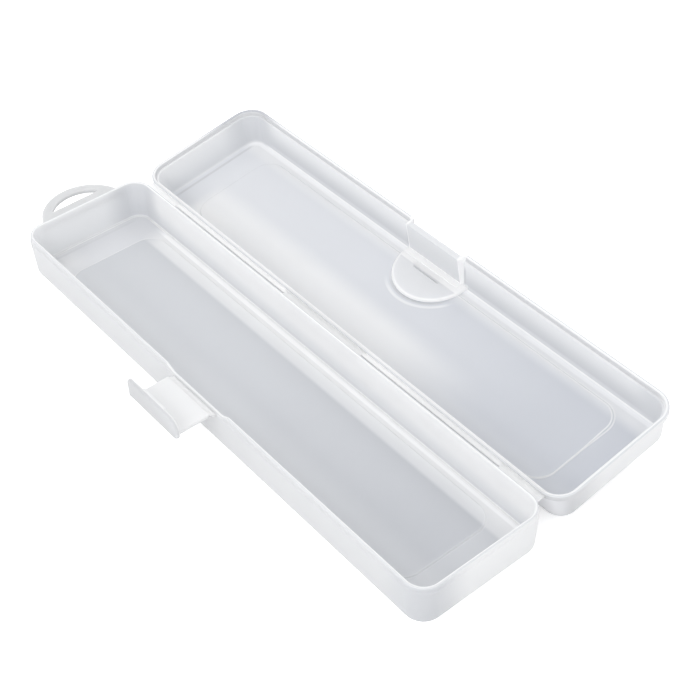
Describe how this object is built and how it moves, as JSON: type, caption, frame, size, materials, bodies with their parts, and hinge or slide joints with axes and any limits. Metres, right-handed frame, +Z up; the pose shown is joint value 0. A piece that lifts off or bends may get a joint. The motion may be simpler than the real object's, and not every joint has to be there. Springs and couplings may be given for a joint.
{
  "type": "hinged brush case",
  "caption": "Long shallow translucent plastic case lying open: base tray with hang loop, lid tray on a living hinge, and a fold-over snap latch.",
  "frame": {"origin": "centre of the base tray's underside, on the surface that the case lies on", "axes": "+X along the case away from the hang loop, +Y from the base tray across the hinge to the lid, +Z up, out of the open trays"},
  "size_m": [0.2126, 0.1124, 0.0221],
  "materials": {
    "base_shell": "frosted translucent polypropylene, fine satin moulded surface",
    "lid_shell": "frosted translucent polypropylene, fine satin moulded surface",
    "thin_web": "the same polypropylene, clearer where it is thin",
    "latch": "frosted translucent polypropylene, fine satin moulded surface"
  },
  "bodies": {
    "base": {"base_tray": "base_shell", "hang_loop": "base_shell", "latch_web": "thin_web", "hinge_web_far_base": "thin_web", "hinge_web_middle_base": "thin_web", "hinge_web_near_base": "thin_web"},
    "lid": {"lid_tray": "lid_shell", "latch_catch": "lid_shell", "hinge_web_far_lid": "thin_web", "hinge_web_middle_lid": "thin_web", "hinge_web_near_lid": "thin_web"},
    "latch": {"latch_strap": "latch", "latch_flap": "latch", "latch_hook": "latch"}
  },
  "joints": [
    {"name": "lid_fold", "type": "hinge", "parent": "base", "child": "lid", "pos_m": [0, 0.02505, 0.01445], "axis": [1, 0, 0], "range_deg": [0, 171.2]},
    {"name": "latch_fold", "type": "hinge", "parent": "base", "child": "latch", "pos_m": [-0.0005, -0.0243, 0.0139], "axis": [-1, 0, 0], "range_deg": [0, 90]}
  ]
}
